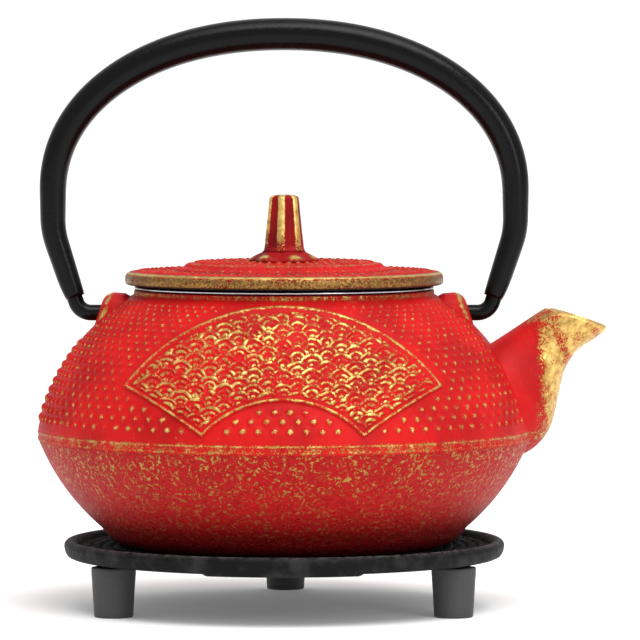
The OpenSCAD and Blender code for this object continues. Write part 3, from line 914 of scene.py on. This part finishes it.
def bail_line():
    """Centre line of the bail in (x, z), right foot to left foot, as the CAD part has it."""
    lean = np.array([math.sin(LEG_LEAN), math.cos(LEG_LEAN)])
    elbow_x, elbow_r = ELBOW
    hook_end = np.array([elbow_x + elbow_r * lean[1], HINGE_Z + elbow_r - elbow_r * lean[0]])
    start = hook_end + 1.2 * lean
    low_x = BAIL_HALF_W - BEND_R * (1 - lean[1])
    bend_low = np.array([low_x, start[1] + (low_x - start[0]) / math.tan(LEG_LEAN)])
    t = np.linspace(LEG_LEAN, 0, 8)
    bend = np.column_stack([BAIL_HALF_W - BEND_R * (1 - np.cos(t)),
                            bend_low[1] + BEND_R * (lean[0] - np.sin(t))])
    a = np.linspace(0, math.pi / 2, 60)
    arch = np.column_stack([BAIL_HALF_W * np.cos(a).clip(0) ** (2 / ARCH_POWER),
                            ARCH_Z + (BAIL_TOP - ARCH_Z) * np.sin(a) ** (2 / ARCH_POWER)])
    right = np.vstack([[start], bend, arch])
    return np.vstack([right, right[-2::-1] * [-1, 1]])


def handle_bow():
    """The hollow bail: a rolled tube, a little flattened, with its seam on the inner side."""
    line = resample(bail_line(), 220)
    d = np.gradient(line, axis=0)
    n = np.column_stack([d[:, 1], -d[:, 0]]) / np.hypot(*d.T)[:, None]
    k = ((line[:, 1] - line[0, 1]) / (BAIL_TOP - line[0, 1])).clip(0, 1) ** 0.8
    angle = full_turn(72)
    flatten = 1 - 0.035 * (1 + np.cos(4 * angle)) / 2
    seam = np.exp(-((angle - math.pi) / 0.09) ** 2)

    def rings(inset, seam_depth):
        out = []
        for (x, z), (nx, nz), share in zip(line, n, k):
            h = TUBE_END + (TUBE_TOP - TUBE_END) * share - inset
            w = h + 0.6 * share
            a = h * flatten * np.cos(angle) * (1 - seam_depth / h * seam)
            out.append(np.column_stack([x + nx * a, -w * flatten * np.sin(angle), z + nz * a]))
        return np.array(out)

    outer, inner = rings(0, 0.28), rings(TUBE_WALL, 0.1)
    away = (angle < math.pi / 2) | (angle > 3 * math.pi / 2)
    for row in range(6):
        taper = (1 - row / 6) ** 2 * 0.42
        for end in (row, len(line) - 1 - row):
            normal = np.array([n[end, 0], 0, n[end, 1]])
            outer[end, away] -= taper * np.cos(angle[away])[:, None] * normal
    rows = len(line)
    vertices = np.vstack([outer.reshape(-1, 3), inner.reshape(-1, 3)])
    cols, shift = len(angle), rows * len(angle)
    faces = grid_faces(rows, cols, flip=True) + grid_faces(rows, cols, shift)
    for row in (0, rows - 1):
        for j in range(cols):
            a, b = row * cols + j, row * cols + (j + 1) % cols
            quad = [a, b, b + shift, a + shift]
            faces.append(quad if row == 0 else quad[::-1])
    return new_object("bail_tube", vertices, faces)


# ---- the infuser

WIRE_R = 0.2


def wires(paths, name, loop=False):
    """Round-ish wires along paths of (x, y, z) points."""
    vertices, faces, offset = [], [], 0
    for path, side in paths:
        path = np.asarray(path)
        d = np.gradient(path, axis=0) if not loop else np.roll(path, -1, 0) - np.roll(path, 1, 0)
        d /= np.linalg.norm(d, axis=1)[:, None]
        u = np.cross(d, side)
        u /= np.linalg.norm(u, axis=1)[:, None]
        v = np.cross(d, u)
        corner = [(1, 0), (0, 1), (-1, 0), (0, -1)]
        ring = np.stack([path + WIRE_R * (a * u + b * v) for a, b in corner], 1)
        rows = len(path)
        vertices.append(ring.reshape(-1, 3))
        faces += grid_faces(rows, 4, offset)
        if loop:
            faces += [[offset + (rows - 1) * 4 + j, offset + (rows - 1) * 4 + (j + 1) % 4,
                       offset + (j + 1) % 4, offset + j] for j in range(4)]
        else:
            faces += [[offset + 3, offset + 2, offset + 1, offset],
                      [offset + (rows - 1) * 4 + j for j in range(4)]]
        offset += rows * 4
    return new_object(name, np.vstack(vertices), faces)


def infuser_wall():
    """Woven mesh: upright wires that pass in and out of level hoops."""
    radius = WALL_HI[0] - 0.3
    z0, z1 = WALL_LO[2] + 0.1, WALL_HI[2] - 0.1
    uprights, hoops = 128, 26
    weave = 0.17
    paths = []
    for i in range(uprights):
        t = np.linspace(0, 1, hoops * 2 + 1)
        r = radius + weave * np.sin(math.pi * (t * hoops + i))
        a = 2 * math.pi * i / uprights
        xy = turn_z(r, np.full(len(t), a))
        side = np.array([math.cos(a), math.sin(a), 0])
        paths.append((np.column_stack([xy, z0 + (z1 - z0) * t]), side))
    upright = wires(paths, "infuser_mesh_wall")
    paths = []
    for k in range(hoops):
        a = full_turn(uprights * 2)
        r = radius - weave * np.cos(math.pi * (a / (2 * math.pi) * uprights + k))
        z = z0 + (z1 - z0) * (k + 0.5) / hoops
        paths.append((np.column_stack([turn_z(r, a), np.full(len(a), z)]), np.array([0, 0, 1.0])))
    hoop = wires(paths, "infuser_mesh_hoops", loop=True)
    return upright, hoop


def infuser_floor():
    """Woven mesh disc."""
    radius = FLOOR_HI[0] - 0.6
    z = (FLOOR_LO[2] + FLOOR_HI[2]) / 2
    pitch, weave = 1.5, 0.12
    paths = []
    lines = np.arange(-radius + 0.6, radius, pitch)
    for axis in (0, 1):
        for k, c in enumerate(lines):
            half = math.sqrt(max(radius**2 - c**2, 0.01))
            t = np.arange(-half, half, pitch / 2)
            if len(t) < 3:
                continue
            wave = weave * np.sin(math.pi * (t - lines[0]) / pitch + math.pi * (k + 0.5) + axis * math.pi)
            points = np.column_stack([t, np.full(len(t), c), z + wave])
            side = np.array([0, 1.0, 0])
            if axis:
                points = points[:, [1, 0, 2]]
                side = np.array([1.0, 0, 0])
            paths.append((points, side))
    return wires(paths, "infuser_mesh_floor")


def infuser_rim():
    """The spun steel flange and neck the mesh hangs from, with a rolled edge darkened above and below its
    middle as painted shade from the dark gap under the lid.
    """
    lo, hi = (np.array(c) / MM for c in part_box("infuser_rim"))
    r, top, neck, inner = hi[0], hi[2], 31.4, 30.6
    low = top - 0.6
    half = 0.3
    t = np.linspace(-math.pi / 2, math.pi / 2, 9)
    edge = np.column_stack([r - half + half * np.cos(t), top - half + half * np.sin(t)])
    profile = np.vstack([[[inner, lo[2]], [neck, lo[2]], [neck, low - 0.5], [neck + 0.15, low - 0.15],
                          [neck + 0.5, low], [33.5, low]], edge, [[33.5, top], [inner + 0.5, top],
                          [inner + 0.12, top - 0.12], [inner, top - 0.5]]])
    cols = 256
    angle = full_turn(cols)
    grid = lathe(profile, angle)
    last = (len(profile) - 1) * cols
    faces = grid_faces(len(profile), cols)
    faces += [[last + j, last + (j + 1) % cols, (j + 1) % cols, j] for j in range(cols)]
    obj = new_object("infuser_rim_rolled", grid.reshape(-1, 3), faces)
    z = np.repeat(profile[:, 1], cols)
    outer = np.repeat(profile[:, 0], cols) > r - 0.35
    # Painted shade on the rolled edge, above and below its middle, for the dark gap under the lid.
    attribute(obj, "painted_shade", np.where(outer, smooth(np.abs(z - top + half), 0.1, 0.24), 0))
    return obj


# ---- the trivet

def trivet():
    """Cast plate: a rounded rim, a floor of small raised blocks and three rim lugs; its three pegs come from
    pegs().
    """
    columns = 540
    r_out = PLATE_HI[0]
    rim_top = PLATE_HI[2]
    floor = BASE_Z
    under = floor - 2.9
    t = np.radians(np.linspace(-20, 172, 16))
    rim = [r_out - 1.5, rim_top - 1.5] + 1.5 * np.column_stack([np.cos(t), np.sin(t)])
    radii = np.arange(r_out - 3.7, 12, -0.36)
    top = np.column_stack([radii, np.full(len(radii), floor)])
    bottom = np.array([[3, under], [30, under], [r_out - 3.4, under], [r_out - 1.6, under],
                       [r_out - 0.9, under + 0.3], [r_out - 0.45, under + 0.9], [r_out - 0.15, under + 1.7]])
    profile = np.vstack([bottom, rim, top, [[3, floor]]])
    angle = full_turn(columns)
    grid = lathe(profile, angle)
    flat = grid.reshape(-1, 3)
    r = np.repeat(profile[:, 0], columns)
    z = np.repeat(profile[:, 1], columns)
    on_floor = (np.abs(z - floor) < 0.01) & (r > 11)
    pitch = 2.6
    ring = np.floor(r / pitch)
    count = np.maximum(np.round(2 * math.pi * (ring + 0.5)), 1)
    across = np.tile(angle, len(profile)) / (2 * math.pi) * count
    du = np.abs(across - np.floor(across) - 0.5) * 2
    dv = np.abs(r / pitch - ring - 0.5) * 2
    block = smooth(-np.maximum(du, dv), -0.86, -0.6)
    flat[:, 2] += np.where(on_floor, (block - 1) * 0.95, 0)
    lug_angle = np.tile(angle, len(profile))
    near = np.abs((np.degrees(lug_angle) + 60) % 120 - 60)
    lug = smooth(-near, -21.5, -20.2) * (z < under + 0.35) * (r > r_out - 3.6)
    flat[:, 2] -= lug * 0.5
    obj = solid("trivet_cast", flat.reshape(grid.shape))
    # The crest takes the paler grey: partly wear, partly a painted highlight along the rim's top.
    crest = np.exp(-((r - (r_out - 1.5)) / 0.9) ** 2) * smooth(z, rim_top - 1.2, rim_top)
    attribute(obj, "edge", np.r_[crest, 0, 0])
    return obj


def pegs():
    """The three cast pegs that carry the rubber feet."""
    out = []
    for k, name in enumerate(("foot_front_left", "foot_front_right", "foot_back")):
        lo, hi = (np.array(c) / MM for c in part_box(name))
        centre = (lo + hi) / 2
        angle = full_turn(40)
        circle = np.column_stack([3 * np.cos(angle), 3 * np.sin(angle), np.zeros(40)])
        circle += [centre[0], centre[1], 0]
        rings = [circle + [0, 0, z] for z in (4.0, 8.0, BASE_Z - 2.7)]
        out.append(solid(f"trivet_peg_{k}", np.array(rings)))
    return out


def foot(name):
    """A moulded rubber cap: tapered, with a soft lip at the top and a rounded tread edge."""
    lo, hi = (np.array(c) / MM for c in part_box(name))
    centre = (lo + hi) / 2
    top_r, low_r, h = (hi[0] - lo[0]) / 2, 4.7, hi[2]
    side = [(low_r - 0.5, 0.0), (low_r - 0.15, 0.08), (low_r, 0.4)]
    side += [(low_r + (top_r - low_r) * t + 0.12 * t**6, 0.4 + (h - 0.8) * t)
             for t in np.linspace(0.1, 0.97, 14)]
    side += [(top_r, h - 0.25), (top_r - 0.12, h - 0.05), (top_r - 0.4, h), (3.4, h),
             (3.05, h - 0.3), (3.02, 4.2)]
    profile = np.array([(0.6, 0.0), *side, (0.6, 4.2)])
    profile[:, 0] = profile[:, 0].clip(max=top_r)
    angle = full_turn(96)
    grid = lathe(profile, angle)
    return solid(name + "_cap", grid + [centre[0], centre[1], 0])


# ---- assembly

def dress(obj, material, body, slot, *nodes):
    """Gives a new piece its material, its body and the CAD nodes it stands for; the slot argument is not
    used.
    """
    obj.data.materials.clear()
    obj.data.materials.append(material)
    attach(obj, body)
    if nodes:
        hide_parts(*nodes)


def repaint(node, material):
    obj = frame["nodes"][node]
    obj.data.materials.clear()
    obj.data.materials.append(material)
    obj.data.polygons.foreach_set("material_index", [0] * len(obj.data.polygons))


pot_paint = red_iron("red_iron_pot", skin=True)
lid_paint = red_iron("red_iron_lid", bronze=True)
knob_paint = red_iron("gold_rubbed_knob", deep=True)
satin = black_enamel("satin_black")
iron = black_iron("black_iron")
rubber = foot_rubber("foot_rubber")
sheet_steel = stainless("stainless_sheet")
wire_steel = stainless("stainless_wire", (3, 3, 3))

dress(pot_body(), pot_paint, "pot", "red_iron", "pot_body")
dress(fan_panel(), pot_paint, "pot", "red_iron")
dress(lid(), lid_paint, "lid", "red_iron", "lid")
dress(knob(), knob_paint, "lid", "gold_knob", "lid_knob")
dress(knob_seat(), knob_paint, "lid", "gold_knob", "knob_seat")
dress(handle_bow(), satin, "bail", "black_handle", "handle_bow")
for mesh_piece in infuser_wall():
    dress(mesh_piece, wire_steel, "infuser", "infuser_mesh", "infuser_wall")
dress(infuser_floor(), wire_steel, "infuser", "infuser_mesh", "infuser_floor")
dress(trivet(), iron, "trivet", "black_iron", "trivet_plate")
for peg in pegs():
    dress(peg, iron, "trivet", "black_iron")
for foot_node in ("foot_front_left", "foot_front_right", "foot_back"):
    dress(foot(foot_node), rubber, "trivet", "foot_rubber", foot_node)
for node in ("hook_left", "hook_right"):
    repaint(node, satin)
dress(infuser_rim(), sheet_steel, "infuser", "infuser_steel", "infuser_rim")
for node in ("infuser_base_ring", "knob_screw", "knob_washer"):
    repaint(node, sheet_steel)


# ---- floor, light and camera

def floor():
    mesh = bpy.data.meshes.new("floor")
    size = 6.0
    corners = [(-size, -size, 0), (size, -size, 0), (size, size, 0), (-size, size, 0)]
    mesh.from_pydata(corners, [], [(0, 1, 2, 3)])
    obj = link_object("floor", mesh)
    n = Nodes("pale_floor")
    obj.data.materials.append(n.finish(Base_Color=n.mix(n.noise(3), (0.93, 0.93, 0.93), (0.95, 0.95, 0.95)),
                                       Roughness=0.8, Emission_Color=(1, 1, 1), Emission_Strength=0.11))


def area_light(name, place, aim, size, power):
    data = bpy.data.lights.new(name, "AREA")
    data.shape = "RECTANGLE"
    data.size, data.size_y = size
    data.energy = power
    obj = link_object(name, data)
    obj.location = place
    obj.rotation_euler = (Vector(aim) - Vector(place)).to_track_quat("-Z", "Y").to_euler()


def sun(name, direction, angle, power):
    data = bpy.data.lights.new(name, "SUN")
    data.energy = power
    data.angle = math.radians(angle)
    obj = link_object(name, data)
    obj.rotation_euler = Vector(direction).to_track_quat("-Z", "Y").to_euler()


def world(strength):
    sky = bpy.data.worlds.new("studio")
    bpy.context.scene.world = sky
    sky.use_nodes = True
    tree = sky.node_tree
    back = tree.nodes["Background"]
    back.inputs["Color"].default_value = (1, 1, 1, 1)
    back.inputs["Strength"].default_value = strength
    seen = tree.nodes.new("ShaderNodeBackground")
    seen.inputs["Color"].default_value = (1, 1, 1, 1)
    seen.inputs["Strength"].default_value = 1.05
    path = tree.nodes.new("ShaderNodeLightPath")
    mix = tree.nodes.new("ShaderNodeMixShader")
    tree.links.new(path.outputs["Is Camera Ray"], mix.inputs["Fac"])
    tree.links.new(back.outputs[0], mix.inputs[1])
    tree.links.new(seen.outputs[0], mix.inputs[2])
    tree.links.new(mix.outputs[0], tree.nodes["World Output"].inputs["Surface"])


CAMERA_X = 0.0087
CAMERA_Y = -1.312
CAMERA_Z = 0.1315
CAMERA_PITCH = math.radians(2.68)
CAMERA_LENS = 303.75


def camera():
    data = bpy.data.cameras.new("camera")
    data.lens = CAMERA_LENS
    data.sensor_width = 36
    data.clip_start = 0.05
    data.clip_end = 50
    obj = link_object("camera", data)
    obj.location = (CAMERA_X, CAMERA_Y, CAMERA_Z)
    obj.rotation_euler = (math.pi / 2 - CAMERA_PITCH, 0, 0)
    bpy.context.scene.camera = obj


floor()
camera()
world(0.72)
sun("key", (-0.22, 0.5, -0.84), 40, 1.6)
area_light("top_soft", (0.1, -0.25, 0.95), (0, 0, 0.06), (0.9, 0.7), 4.5)
area_light("front_right", (0.65, -0.9, 0.35), (0, 0, 0.06), (0.3, 0.5), 2.2)
bpy.context.scene.view_settings.view_transform = "Standard"
